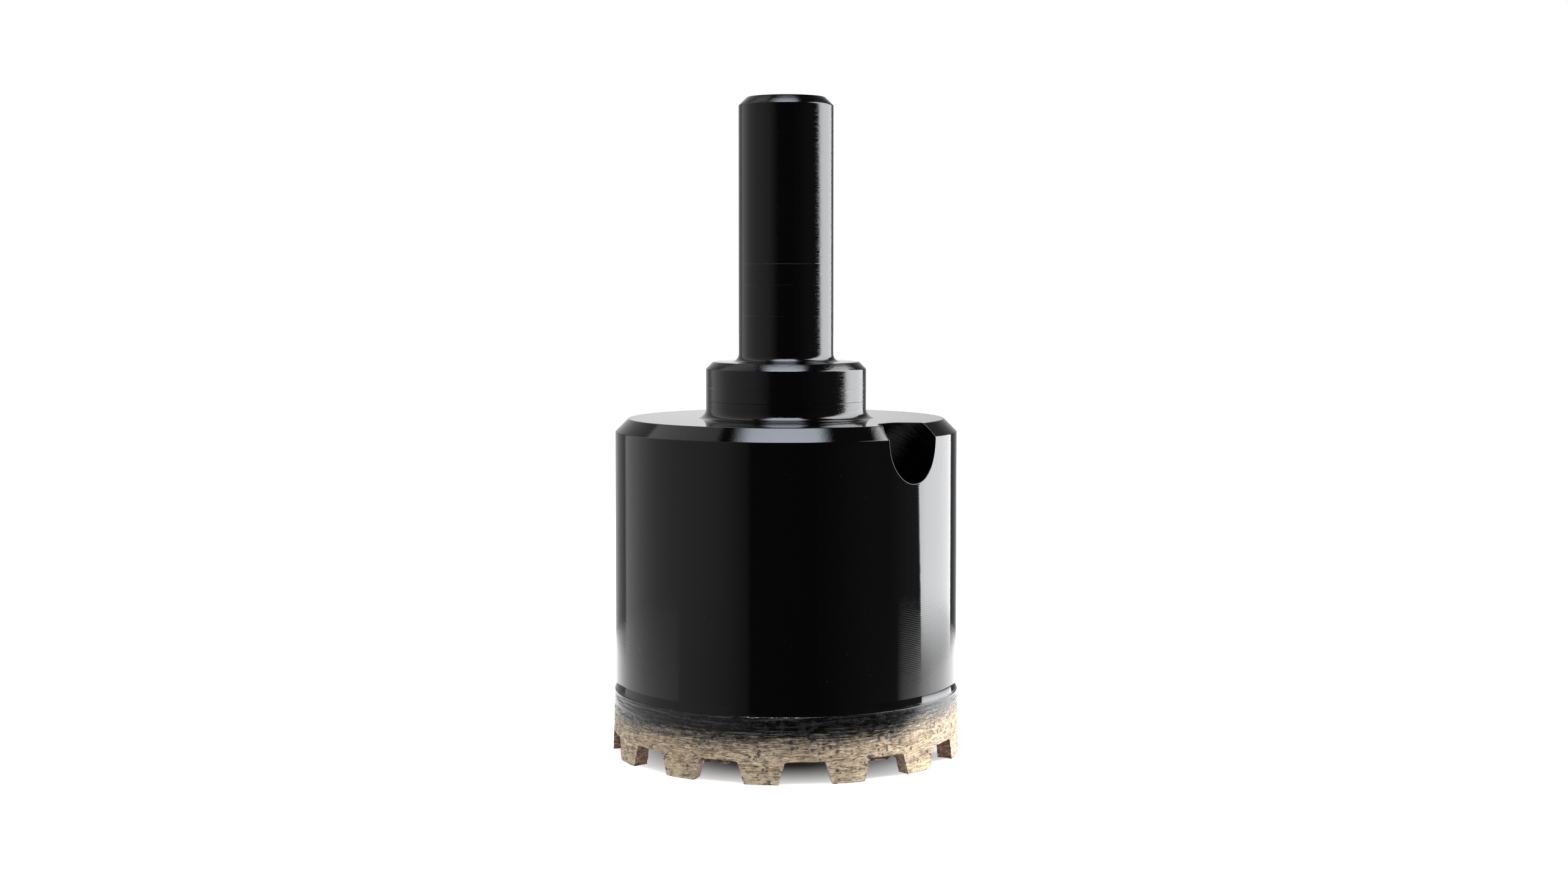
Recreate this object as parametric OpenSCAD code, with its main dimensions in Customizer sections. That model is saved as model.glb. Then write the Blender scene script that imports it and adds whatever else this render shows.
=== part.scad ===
// Diamond core bit: a steel cup on a plain shank, with a toothed diamond ring on its rim.
// The origin is the centre of the plane through the tooth tips. +Z runs up the shank, and
// +X points to the ejection hole in the shoulder.

/* [Shank] */
// Diameter of the plain shank that the chuck grips
shank_d = 12; // [8:0.5:16]
// Length of the shank above the collar
shank_len = 33.3; // [20:0.1:60]
// Chamfer round the top of the shank
shank_chamfer = 1.05; // [0.3:0.05:2]
// Fillet where the shank meets the collar
shank_fillet_r = 1; // [0.2:0.1:1.5]

/* [Collar] */
// Diameter of the collar
collar_d = 20.3; // [17:0.1:26]
// Height of the collar above the shoulder of the cup
collar_h = 7.1; // [4:0.1:15]
// Chamfer round the top of the collar
collar_chamfer = 0.9; // [0.2:0.1:1]
// Fillet where the collar meets the shoulder
collar_fillet_r = 1.2; // [0.2:0.1:2]

/* [Crown] */
// Diameter of the hole that the bit cuts, across the tooth tips
crown_d = 44; // [36:0.5:68]
// Wall of the crown at the tooth tips
crown_wall = 2; // [1.7:0.1:3]
// Height of the crown, teeth included
crown_h = 8.05; // [5:0.05:12]
// How much further out the crown's wall stands at the tips than at its top
crown_taper = 0.25; // [0.1:0.05:0.4]

/* [Teeth] */
// Number of teeth
tooth_count = 13; // [8:1:16]
// Height of the teeth
tooth_h = 2.7; // [1.5:0.1:4]
// Width of each slot at its root
slot_w = 4.8; // [3:0.1:6]
// Slope of the tooth flanks away from the vertical, in degrees
flank_slope = 16.5; // [5:0.5:25]
// Fillet at the root of each tooth
root_fillet_r = 0.35; // [0.1:0.05:0.8]
// Turn of the first tooth from +X towards +Y, in degrees
tooth_turn = 1.7; // [0:0.1:27]

/* [Cup] */
// Height of the cup from the crown's seat to its shoulder
cup_h = 34; // [24:0.5:60]
// How far the cup's wall stands back from the crown's top edge
cup_inset = 0.15; // [0.05:0.05:0.4]
// How far the cavity's wall stands back from the crown's bore
cavity_clearance = 0.2; // [0.05:0.05:0.4]
// Thickness of the solid top plate of the cup
plate_t = 9; // [7:0.5:12]
// Chamfer round the shoulder
shoulder_chamfer = 1.65; // [0.5:0.05:2.5]
// Fillet inside the cavity, where its wall meets its ceiling
cavity_fillet_r = 1; // [0.3:0.1:2]
// Height of the smooth flare above the crown
flare_h = 1.05; // [0.5:0.05:3]

/* [Ejection hole] */
// Diameter of the slanted hole that a pin goes through to push a core out
hole_d = 8.5; // [6:0.1:9]
// Slope of the hole above the horizontal, in degrees
hole_tilt = 45; // [40:1:50]
// How far below the shoulder the hole's axis leaves the cup's wall
hole_drop = 1.1; // [0.5:0.1:2]

/* [Hidden] */
$fn = 96;

shank_r = shank_d / 2;
collar_r = collar_d / 2;
crown_r = crown_d / 2;
crown_bore_r = crown_r - crown_wall;
crown_top_r = crown_r - crown_taper;
cup_r = crown_top_r - cup_inset;
cavity_r = crown_bore_r + cavity_clearance;

// Levels above the tooth tips
seat_z = crown_h;
shoulder_z = seat_z + cup_h;
ceiling_z = shoulder_z - plate_t;
collar_z = shoulder_z + collar_h;
shank_z = collar_z + shank_len;

// The flare is an arc that starts upright on the cup's wall and ends on the crown's top edge
flare_arc_r = (flare_h * flare_h + cup_inset * cup_inset) / (2 * cup_inset);

// The hole's axis leaves the cup's wall at hole_z. The cutter starts above the shoulder, and
// it stops in the cavity, once its whole end is below the ceiling
hole_r = hole_d / 2;
hole_z = shoulder_z - hole_drop;
cutter_spare = 1;
cutter_up = (hole_drop + hole_r * cos(hole_tilt)) / sin(hole_tilt) + cutter_spare;
cutter_down = (hole_z - ceiling_z + hole_r * cos(hole_tilt)) / sin(hole_tilt) + cutter_spare;

// The slot's cutter reaches past the tips, the bore and the outer wall
slot_spare = 1;
slot_low_w = slot_w + 2 * (tooth_h + slot_spare) * tan(flank_slope);
slot_start_r = sqrt(crown_bore_r * crown_bore_r - slot_low_w * slot_low_w / 4) - slot_spare;
slot_end_r = crown_r + slot_spare;
// Centre of the arc that rounds the slot's root into its flank
slot_arc_x = slot_w / 2 - root_fillet_r * (1 - sin(flank_slope)) / cos(flank_slope);
slot_arc_z = tooth_h - root_fillet_r;
root_steps = 4;

// Fills the corner between the +X and +Y directions with a concave fillet
module corner_fillet(r) {
    difference() {
        square(r);
        translate([r, r]) circle(r = r);
    }
}

// Half section of the bar as turned: shank, collar and cup, with their chamfers
module turned_outline() {
    polygon([
        [0, seat_z],
        [cup_r, seat_z],
        [cup_r, shoulder_z - shoulder_chamfer],
        [cup_r - shoulder_chamfer, shoulder_z],
        [collar_r, shoulder_z],
        [collar_r, collar_z - collar_chamfer],
        [collar_r - collar_chamfer, collar_z],
        [shank_r, collar_z],
        [shank_r, shank_z - shank_chamfer],
        [shank_r - shank_chamfer, shank_z],
        [0, shank_z]
    ]);
    translate([shank_r, collar_z]) corner_fillet(shank_fillet_r);
    translate([collar_r, shoulder_z]) corner_fillet(collar_fillet_r);
    translate([cup_r, seat_z]) flare_outline();
}

// Sliver that the wall gains at its foot, so that it ends flush with the crown
module flare_outline() {
    difference() {
        square([cup_inset, flare_h]);
        translate([flare_arc_r, flare_h]) circle(r = flare_arc_r);
    }
}

// Half section of the cavity, which is bored from below
module cavity_outline() {
    difference() {
        translate([0, seat_z - cutter_spare]) square([cavity_r, ceiling_z - seat_z + cutter_spare]);
        translate([cavity_r, ceiling_z]) rotate(180) corner_fillet(cavity_fillet_r);
    }
}

// Cutter for the slanted hole from the shoulder down into the cavity
module ejection_hole() {
    translate([cup_r, 0, hole_z])
        rotate([0, 90 - hole_tilt, 0])
            translate([0, 0, -cutter_down])
                cylinder(r = hole_r, h = cutter_down + cutter_up);
}

// Body of the bit, turned from one bar
module steel_body() {
    color("#1b1b1d")
        difference() {
            rotate_extrude()
                difference() {
                    turned_outline();
                    cavity_outline();
                }
            ejection_hole();
        }
}

// Round corner where the slot's root turns into one flank: 1 is the +X side, -1 the other
function root_arc(side) = [
    for (step = [0 : root_steps])
        let (turn = 90 - step * (90 - flank_slope) / root_steps)
            [side * (slot_arc_x + root_fillet_r * cos(turn)), slot_arc_z + root_fillet_r * sin(turn)]
];

// Outline of one slot, seen along the radius: sloping flanks and a root with round corners
module slot_outline() {
    right = root_arc(1);
    left = root_arc(-1);
    polygon(concat(
        right,
        [[slot_low_w / 2, -slot_spare], [-slot_low_w / 2, -slot_spare]],
        [for (step = [root_steps : -1 : 0]) left[step]]
    ));
}

// Cutter for one slot, straight through the wall along +X
module slot() {
    translate([slot_start_r, 0, 0])
        rotate([90, 0, 90])
            linear_extrude(height = slot_end_r - slot_start_r)
                slot_outline();
}

// Sintered ring that flares a little towards its tips, with a slot between every two teeth
module diamond_crown() {
    color("#b3a288")
        difference() {
            rotate_extrude()
                polygon([
                    [crown_bore_r, 0],
                    [crown_r, 0],
                    [crown_top_r, crown_h],
                    [crown_bore_r, crown_h]
                ]);
            for (i = [0 : tooth_count - 1])
                rotate([0, 0, tooth_turn + (i + 0.5) * 360 / tooth_count]) slot();
        }
}

steel_body();
diamond_crown();
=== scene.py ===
"""Looks of a diamond core bit: gloss painted steel body, sintered crown with grit, studio stage."""
import math
import random

import bmesh
import bpy
from bpy.props import FloatProperty, FloatVectorProperty, IntProperty, PointerProperty
from bpy.types import Operator, Panel, PropertyGroup
from mathutils import Matrix, Vector


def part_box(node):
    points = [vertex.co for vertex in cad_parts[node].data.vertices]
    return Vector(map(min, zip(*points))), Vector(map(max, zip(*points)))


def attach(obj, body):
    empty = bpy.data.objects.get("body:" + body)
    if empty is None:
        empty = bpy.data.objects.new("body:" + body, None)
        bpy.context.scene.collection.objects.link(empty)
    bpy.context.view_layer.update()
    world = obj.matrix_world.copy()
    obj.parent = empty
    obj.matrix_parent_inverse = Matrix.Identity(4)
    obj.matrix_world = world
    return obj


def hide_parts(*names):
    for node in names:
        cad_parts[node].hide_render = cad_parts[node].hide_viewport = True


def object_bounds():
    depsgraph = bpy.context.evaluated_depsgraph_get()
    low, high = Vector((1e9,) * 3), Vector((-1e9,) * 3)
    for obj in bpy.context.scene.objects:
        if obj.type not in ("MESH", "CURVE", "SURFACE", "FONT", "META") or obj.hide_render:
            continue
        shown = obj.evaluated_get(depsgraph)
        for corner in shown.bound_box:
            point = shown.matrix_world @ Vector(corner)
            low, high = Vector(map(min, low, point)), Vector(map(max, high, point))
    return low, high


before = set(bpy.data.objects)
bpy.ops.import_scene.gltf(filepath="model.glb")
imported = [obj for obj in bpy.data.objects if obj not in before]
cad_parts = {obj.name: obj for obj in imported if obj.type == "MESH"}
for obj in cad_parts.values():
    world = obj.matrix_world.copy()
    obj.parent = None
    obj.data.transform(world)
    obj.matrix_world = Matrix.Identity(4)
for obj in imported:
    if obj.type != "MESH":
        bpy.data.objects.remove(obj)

bl_info = {
    "name": "Diamond Core Bit",
    "version": (1, 0, 0),
    "blender": (4, 5, 0),
    "location": "View3D > Sidebar > Core Bit",
    "description": "Builds a painted diamond core bit and the studio stage it stands on",
    "category": "Add Mesh",
}

MM = 0.001
BODY = "root"
CAD_LOW, CAD_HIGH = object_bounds()
CROWN_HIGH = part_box("diamond_crown")[1]

# How fine the meshes are
BODY_SEGMENTS = 288
HOLE_SEGMENTS = 144
CROWN_STEPS = 48
CROWN_ROWS = 72
BORE_ROWS = 20
RIM_ROWS = 8
FLASH_STEPS = 40
SLOT_CUT = 0.2 * MM
# Within these, a vert counts as lying on a ring or on the end of a share of the crown
NEAR = 0.002 * MM
NEAR_ANGLE = 1e-5
# The flare starts with this share of its mean slope, just below a ring that keeps the wall straight
FLARE_START = 0.65
FLARE_GUARD = 0.04 * MM
# Lines that the lathe left on the neck: level, half width and height in millimetres
TURNED_LINES = (
    (44.2, 0.07, -0.012), (45.9, 0.05, -0.008), (54.9, 0.08, -0.01), (58.8, 0.08, -0.01),
    (61.5, 0.07, 0.014), (69.9, 0.05, -0.006), (74.4, 0.06, 0.005), (75.3, 0.06, -0.006),
    (76.5, 0.05, 0.005),
)
# Slots whose root kept a rim of metal, counted round from +X, then how thick that rim is, how far
# it hangs down, and how high and how long its waves are
FLASH_GAPS = (10, 12)
FLASH_THICK = 0.25 * MM
FLASH_DROP = 0.95 * MM
WAVE_H = FLASH_DROP * 0.45
WAVE_L = 1.3 * MM
# Sizes of the loose crystals in millimetres, how deep they are sunk, and the seed of their places
CRYSTAL_SIZES = (0.04, 0.11)
CRYSTAL_SUNK = 0.62
CRYSTAL_SEED = 13
# Colours of what lies on the paint and in the bronze, some of them painted light: the glint on the
# bare edge, the ridge highlight, the shade in the pores and the crystal glints
DUST = (0.08, 0.08, 0.085)
SCRATCH = (0.02, 0.02, 0.022)
RUBBED_PAINT = (0.07, 0.065, 0.062)
BARE_METAL_GLINT = (0.8, 0.78, 0.74)
RIDGE_HIGHLIGHT = (0.95, 0.85, 0.74)
DARK_LINE = (0.035, 0.025, 0.02)
PORE_SHADE = (0.05, 0.038, 0.03)
CRYSTAL_GLINT = (0.95, 0.95, 0.95)
DIM_CRYSTAL = (0.55, 0.53, 0.45)
PALE_CRYSTAL = (0.85, 0.86, 0.84)
# How bright the bronze's colour is on the ground wall, and in the slots, where its darkness is
# painted shade
WALL_SHADE = 1.25
SLOT_PAINTED_SHADE = 0.36
# The camera's sensor in millimetres and its near limit, then the picture's width and where the
# axis and the lens's centre fall in it from its middle, in pixels
SENSOR = 36.0
CLIP_START = 0.01
IMAGE_W = 2576
AXIS_RIGHT = 3.3
CENTRE_UP = 103
# Side of the square floor in metres
FLOOR_SIZE = 3.0
# The side softbox: its two ends, each to the right of the axis and towards the camera in metres,
# and its foot and head in millimetres above the floor
SIDE_NEAR_END = (0.131, 0.0547)
SIDE_FAR_END = (0.2657, -0.3457)
SIDE_LOW, SIDE_HIGH = -75, 350
# The overhead softbox: its level, and its edges as the camera sees them, in metres
TOP_LEVEL = 0.54
TOP_LEFT, TOP_RIGHT = -0.200, 0.171
TOP_REAR, TOP_FRONT = -0.095, 0.300
# Tints of the softboxes
SIDE_TINT = (0.97, 0.985, 1.0)
TOP_TINT = (0.82, 0.88, 1.0)
# Brightness of the studio round the bit: turn from the camera to its right in degrees, and grey
WALLS = (
    (-180, 1.0), (-163, 0.62), (-150, 0.36), (-140, 0.25), (-136.5, 0.25), (-135.5, 0.86),
    (-118, 0.77), (-95, 0.53), (-75, 0.44), (-55, 0.38), (-42, 0.31), (-31, 0.19), (-25, 0.135),
    (-23.5, 0.044), (19, 0.034), (30, 0.05), (57, 0.09), (72, 0.08), (85, 0.13), (97, 0.15),
    (150, 0.11), (158, 0.23), (166, 0.45), (173, 0.6), (180, 1.0),
)
# The same below the table's edge, where the gloss shows the pale table
TABLE = (
    (-180, 1.5), (-148, 1.6), (-130, 1.28), (-108, 0.94), (-83, 0.7), (-77, 0.64), (-75, 0.43),
    (-55, 0.34), (-37, 0.24), (-25, 0.135), (-23.5, 0.044), (19, 0.034), (57, 0.09), (79, 0.12),
    (81, 0.5), (85, 0.95), (97, 1.5), (104, 2.5), (115, 3.1), (142, 2.8), (165, 2.0), (180, 1.5),
)
# Elevations in degrees: the bright floor near the bit, the table's edge, and where the right side
# and the left side turn dark. Then how dark they turn, and how bright the floor is there
NEAR_FLOOR = -27
TABLE_EDGE = -9.3
RIGHT_TOP = 42
LEFT_TOP = 66
DARK = 0.04
FLOOR_GLOW = 1.5


def length(label, text, millimetres):
    """A length that a user can set, in scene units, with its default given in millimetres."""
    return FloatProperty(
        name=label, description=text, default=millimetres * MM, min=0, precision=5, unit="LENGTH"
    )


def angle(label, text, degrees):
    """An angle that a user can set, with its default given in degrees."""
    return FloatProperty(name=label, description=text, default=math.radians(degrees), subtype="ANGLE")


def colour(label, text, rgb):
    """A colour that a user can set."""
    return FloatVectorProperty(
        name=label, description=text, default=rgb, min=0, max=1, size=3, subtype="COLOR"
    )


class BitBodySettings(PropertyGroup):
    """Sizes and paint of the turned steel body"""

    shank_d: length("Shank diameter", "Diameter of the plain shank", 12)
    shank_chamfer: length("Shank chamfer", "Chamfer round the top of the shank", 1.05)
    shank_fillet: length("Shank fillet", "Fillet between shank and collar", 1)
    collar_d: length("Collar diameter", "Diameter of the collar", 20.3)
    collar_h: length("Collar height", "Height of the collar above the shoulder", 7.1)
    collar_chamfer: length("Collar chamfer", "Chamfer round the top of the collar", 0.9)
    collar_fillet: length("Collar fillet", "Fillet between collar and shoulder", 1.2)
    cup_h: length("Cup height", "Height of the cup from the crown's seat to the shoulder", 34)
    cup_inset: length("Cup inset", "How far the cup stands back from the crown's top edge", 0.15)
    cavity_clearance: length("Cavity clearance", "How far the cavity stands back from the bore", 0.2)
    plate_t: length("Plate thickness", "Thickness of the solid top plate", 9)
    shoulder_chamfer: length("Shoulder chamfer", "Chamfer round the shoulder", 1.65)
    cavity_fillet: length("Cavity fillet", "Fillet between the cavity's wall and ceiling", 1)
    flare_h: length("Flare height", "Height of the smooth flare above the crown", 1.05)
    edge_round: length("Edge round", "Rounding of the painted edges", 0.1)
    hole_d: length("Hole diameter", "Diameter of the slanted ejection hole", 8.5)
    hole_tilt: angle("Hole tilt", "Slope of the hole above the horizontal", 45)
    hole_drop: length("Hole drop", "How far below the shoulder the hole's axis leaves the wall", 1.1)
    lip_r: length("Lip radius", "Half the width of the rolled lip round the hole", 0.06)
    seam_step: length("Seam step", "How far the flare's foot stands back from the crown", 0.035)
    ring_pitch: length("Ring pitch", "Spacing of the turning rings on the cup", 0.22)
    paint: colour("Paint", "Colour of the gloss paint", (0.0008, 0.00075, 0.0009))


class BitCrownSettings(PropertyGroup):
    """Sizes and colours of the sintered crown"""

    wall: length("Wall", "Wall of the crown at its tips", 2)
    taper: length("Taper", "How much further out the wall stands at the tips than at its top", 0.25)
    tooth_count: IntProperty(name="Teeth", description="Number of teeth", default=13, min=3)
    tooth_h: length("Tooth height", "Height of the teeth", 2.7)
    slot_w: length("Slot width", "Width of each slot at its root", 4.8)
    flank_slope: angle("Flank slope", "Slope of the tooth flanks away from the vertical", 16.5)
    root_fillet: length("Root fillet", "Fillet at the root of each tooth", 0.35)
    tooth_turn: angle("Tooth turn", "Turn of the first tooth from +X towards +Y", 1.7)
    streak_depth: length("Streak depth", "Depth of the ground streaks", 0.05)
    pit_depth: length("Pit depth", "Depth of the pits where grains fell out", 0.06)
    ground: length("Grinding", "How much grinding took off the outer wall", 0.035)
    seam_round: length("Seam round", "Rounding of the crown's top edge at the seam", 0.12)
    # The bare stretch is turned to where the seam's highlight falls, so its pale metal is partly a
    # painted glint
    worn_glint_turn: angle("Worn turn", "Direction from +X of the stretch with a bare top edge", -47)
    thin_turn: angle("Thin turn", "Direction from +X where the overspray is thinnest", 16)
    bronze: colour("Bronze", "Colour of the sintered bronze", (0.59, 0.355, 0.235))
    grit: colour("Grit", "Colour of the diamond grains in the bronze", (0.055, 0.049, 0.05))
    crystals: IntProperty(
        name="Crystals", description="Number of loose crystals that stand out", default=200, min=0
    )


class BitStageSettings(PropertyGroup):
    """Camera and lamps of the studio stage"""

    camera_turn: angle("Camera turn", "Direction of the camera round the axis, from -Y to +X", 44.1)
    camera_range: length("Camera range", "Level distance from the bit's axis to the camera", 276.55)
    camera_h: length("Camera height", "Height of the camera above the floor", 59.58)
    camera_pitch: angle("Camera pitch", "How far the camera looks down", 2.603)
    lens: FloatProperty(name="Lens", description="Focal length", default=50.15, unit="CAMERA")
    side_near: FloatProperty(
        name="Side box, near end", description="Radiance of the side softbox at its near end",
        default=8.7,
    )
    side_far: FloatProperty(
        name="Side box, far end", description="Radiance of the side softbox at its far end",
        default=4.2,
    )
    top_light: FloatProperty(
        name="Top box", description="Radiance of the overhead softbox", default=9.2
    )


def deselect_all():
    """Leaves object mode with nothing selected."""
    if bpy.context.object and bpy.context.object.mode != "OBJECT":
        bpy.ops.object.mode_set(mode="OBJECT")
    bpy.ops.object.select_all(action="DESELECT")


def make_active(*objects):
    """Selects only these objects. The first one becomes the active one."""
    deselect_all()
    for item in objects:
        item.select_set(True)
    bpy.context.view_layer.objects.active = objects[0]


def named(name):
    """Names the active object and its mesh, and returns the object."""
    made = bpy.context.object
    made.name = made.data.name = name
    return made


def edit(piece):
    """Opens a piece in edit mode with nothing selected."""
    make_active(piece)
    bpy.ops.object.mode_set(mode="EDIT")
    bpy.ops.mesh.select_all(action="DESELECT")


def select_parts(kind, test):
    """In edit mode, selects the verts, edges or faces for which the test is true."""
    mesh = bpy.context.object.data
    bpy.ops.mesh.select_mode(type=kind)
    bpy.ops.mesh.select_all(action="DESELECT")
    data = bmesh.from_edit_mesh(mesh)
    parts = {"VERT": data.verts, "EDGE": data.edges, "FACE": data.faces}[kind]
    for part in parts:
        if test(part):
            part.select_set(True)
    data.select_flush_mode()
    bmesh.update_edit_mesh(mesh)


def radius_of(point):
    """Distance of a point from the bit's axis."""
    return math.hypot(point[0], point[1])


def on_ring(radius, level):
    """Test for the edges that lie on the circle of that radius at that level."""
    def test(edge):
        return all(
            abs(v.co.z - level) < NEAR and abs(radius_of(v.co) - radius) < NEAR for v in edge.verts
        )
    return test


def bevel_rings(rings, offset, segments):
    """Bevels the edge rings, each given by its radius and level: one segment makes a chamfer."""
    for radius, level in rings:
        select_parts("EDGE", on_ring(radius, level))
        bpy.ops.mesh.bevel(offset=offset, segments=segments, affect="EDGES")


def apply_modifier(piece, kind, **settings):
    """Adds a modifier to a piece, sets it up and applies it."""
    make_active(piece)
    bpy.ops.object.modifier_add(type=kind)
    modifier = piece.modifiers[-1]
    for key, value in settings.items():
        setattr(modifier, key, value)
    bpy.ops.object.modifier_apply(modifier=modifier.name)


def cut_by(piece, cutter):
    """Cuts a piece by a cutter, which leaves its material on the cut, and deletes the cutter."""
    apply_modifier(
        piece, "BOOLEAN", operation="DIFFERENCE", object=cutter, solver="EXACT",
        material_mode="TRANSFER",
    )
    remove(cutter)


def apply_place(piece):
    """Moves a piece's place, turn and scale into its mesh."""
    make_active(piece)
    bpy.ops.object.transform_apply(location=True, rotation=True, scale=True)


def remove(piece):
    """Deletes a helper object."""
    make_active(piece)
    bpy.ops.object.delete()


def tidy_mesh(piece, distance=NEAR / 2):
    """Merges doubles and turns all faces outwards."""
    edit(piece)
    bpy.ops.mesh.select_all(action="SELECT")
    bpy.ops.mesh.remove_doubles(threshold=distance)
    bpy.ops.mesh.normals_make_consistent(inside=False)
    bpy.ops.object.mode_set(mode="OBJECT")


def smooth(piece, degrees=30):
    """Shades a piece smooth, with edges sharper than that angle left sharp."""
    make_active(piece)
    bpy.ops.object.shade_smooth_by_angle(angle=math.radians(degrees))


def finish_piece(piece, slot, *nodes):
    """Hands a finished piece to the frame."""
    apply_place(piece)
    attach(piece, BODY)
    if nodes:
        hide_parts(*nodes)
    deselect_all()


def add_node(tree, kind, inputs=(), **settings):
    """Adds a node, sets its options, and sets or links its inputs."""
    made = tree.nodes.new(kind)
    for key, value in settings.items():
        setattr(made, key, value)
    for key, value in dict(inputs).items():
        if isinstance(value, bpy.types.NodeSocket):
            tree.links.new(value, made.inputs[key])
        else:
            made.inputs[key].default_value = value
    return made


def maths(tree, operation, *values):
    """Result of a Math node."""
    return add_node(tree, "ShaderNodeMath", dict(enumerate(values)), operation=operation).outputs[0]


def total(tree, *values):
    """Sum of these values."""
    result = values[0]
    for value in values[1:]:
        result = maths(tree, "ADD", result, value)
    return result


def times(tree, *values):
    """Product of these values."""
    result = values[0]
    for value in values[1:]:
        result = maths(tree, "MULTIPLY", result, value)
    return result


def straight(tree, value, slope, start):
    """The value times a slope, plus where the line starts."""
    return maths(tree, "MULTIPLY_ADD", value, slope, start)


def ease(tree, value, low, high, to_low=0.0, to_high=1.0):
    """The value taken smoothly from one range to another."""
    made = add_node(
        tree, "ShaderNodeMapRange",
        {"Value": value, "From Min": low, "From Max": high, "To Min": to_low, "To Max": to_high},
        interpolation_type="SMOOTHSTEP",
    )
    return made.outputs["Result"]


def zone(tree, level, rise, fall):
    """1 between two levels. rise and fall are the stretches over which it comes and goes."""
    return times(tree, ease(tree, level, *rise), ease(tree, level, *fall, 1, 0))


def vector_maths(tree, operation, *values):
    """Result of a Vector Math node."""
    made = add_node(tree, "ShaderNodeVectorMath", dict(enumerate(values)), operation=operation)
    return made.outputs[0]


def scaled(tree, vector, factor):
    """The vector times a number."""
    made = add_node(
        tree, "ShaderNodeVectorMath", {0: vector, "Scale": factor}, operation="SCALE"
    )
    return made.outputs[0]


def part_of(tree, vector, axis):
    """One part of a vector."""
    return add_node(tree, "ShaderNodeSeparateXYZ", {0: vector}).outputs[axis]


def level_of(tree, vector):
    """The upward part of a vector, which is the height above the tips where the vector is a place."""
    return part_of(tree, vector, "Z")


def own_place(tree):
    """The piece's own coordinates in millimetres."""
    return scaled(tree, add_node(tree, "ShaderNodeTexCoord").outputs["Object"], 1 / MM)


def noise(tree, vector, scale, detail=2.0, roughness=0.5, stretch=(1, 1, 1), shift=(0, 0, 0)):
    """Noise between 0 and 1. The scale is in lumps a millimetre before the stretch."""
    place = add_node(
        tree, "ShaderNodeMapping", {"Vector": vector, "Scale": stretch, "Location": shift}
    )
    made = add_node(
        tree, "ShaderNodeTexNoise",
        {"Vector": place.outputs[0], "Scale": scale, "Detail": detail, "Roughness": roughness},
    )
    return made.outputs["Fac"]


def contour(tree, cloud, core, fade):
    """1 where a noise passes its middle, which draws thin lines. They fade from core to fade."""
    off = maths(tree, "ABSOLUTE", maths(tree, "SUBTRACT", cloud, 0.5))
    return ease(tree, off, core, fade, 1, 0)


def scattered(tree, vector, spacing, axis):
    """Scattered points: the millimetres to the nearest one, and a random number that is its own."""
    scale = maths(tree, "DIVIDE", 1.0, spacing)
    cells = add_node(tree, "ShaderNodeTexVoronoi", {"Vector": vector, "Scale": scale})
    reach = times(tree, cells.outputs["Distance"], spacing)
    return reach, part_of(tree, cells.outputs["Color"], axis)


def blend(tree, factor, first, second):
    """Blend of two colours, each a socket or three numbers."""
    inputs = {0: factor}
    for index, value in ((6, first), (7, second)):
        inputs[index] = value if isinstance(value, bpy.types.NodeSocket) else (*value[:3], 1)
    return add_node(tree, "ShaderNodeMix", inputs, data_type="RGBA").outputs[2]


def mixed(tree, factor, first, second):
    """Blend of two numbers."""
    return add_node(tree, "ShaderNodeMix", {0: factor, 2: first, 3: second}).outputs[0]


def new_group(name, outputs, **numbers):
    """A new shader node group with a Vector and these numbers as inputs, and its sockets inside."""
    tree = bpy.data.node_groups.new(name, "ShaderNodeTree")
    tree.interface.new_socket("Vector", in_out="INPUT", socket_type="NodeSocketVector")
    for socket, default in numbers.items():
        made = tree.interface.new_socket(socket, in_out="INPUT", socket_type="NodeSocketFloat")
        made.default_value = default
    for socket in outputs:
        kind = "NodeSocketVector" if socket == "Normal" else "NodeSocketFloat"
        tree.interface.new_socket(socket, in_out="OUTPUT", socket_type=kind)
    given = tree.nodes.new("NodeGroupInput").outputs
    out = tree.nodes.new("NodeGroupOutput").inputs
    return tree, given, out


def rings_group(name):
    """Even rings left by the lathe. Normal leans up and down across each ring, Wave is -1 to 1."""
    tree, given, out = new_group(name, ("Normal", "Wave"), Pitch=0.22, Lean=0.01)
    vector = given["Vector"]
    wander = times(tree, noise(tree, vector, 0.08), 0.1)
    turns = maths(tree, "DIVIDE", total(tree, level_of(tree, vector), wander), given["Pitch"])
    wave = maths(tree, "SINE", times(tree, turns, 2 * math.pi))
    crest = maths(tree, "POWER", straight(tree, wave, 0.5, 0.5), 3.0)
    lean = times(tree, total(tree, wave, times(tree, crest, 0.7)), given["Lean"])
    axis = add_node(
        tree, "ShaderNodeVectorTransform", {0: (0, 0, 1)}, vector_type="VECTOR",
        convert_from="OBJECT", convert_to="WORLD",
    ).outputs[0]
    plain = add_node(tree, "ShaderNodeNewGeometry").outputs["Normal"]
    # The rings lean the light mostly along the axis and a little round it
    sideways = scaled(tree, vector_maths(tree, "CROSS_PRODUCT", axis, plain), 0.28)
    tip = scaled(tree, vector_maths(tree, "ADD", axis, sideways), lean)
    leaning = vector_maths(tree, "ADD", plain, tip)
    tree.links.new(vector_maths(tree, "NORMALIZE", leaning), out["Normal"])
    tree.links.new(wave, out["Wave"])
    return tree


def tool_marks_group(name):
    """Uneven marks that run round the axis: Height in mm, and Rub, 1 where the gloss is rubbed."""
    tree, given, out = new_group(name, ("Height", "Rub"), Depth=0.004)
    vector = given["Vector"]
    fine = noise(tree, vector, 1.0, 3.0, 0.65, stretch=(2.2, 2.2, 3.6))
    broad = noise(tree, vector, 1.0, 2.0, 0.5, stretch=(0.1, 0.1, 2.4), shift=(1, 5, 9))
    patches = noise(tree, vector, 1.0, 4.0, 0.8, stretch=(0.3, 0.3, 9), shift=(3, 8, 5))
    rub = ease(tree, patches, 0.45, 0.7)
    cut = total(tree, fine, times(tree, broad, 0.5), times(tree, rub, 0.25))
    tree.links.new(times(tree, cut, given["Depth"]), out["Height"])
    tree.links.new(rub, out["Rub"])
    return tree


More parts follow.
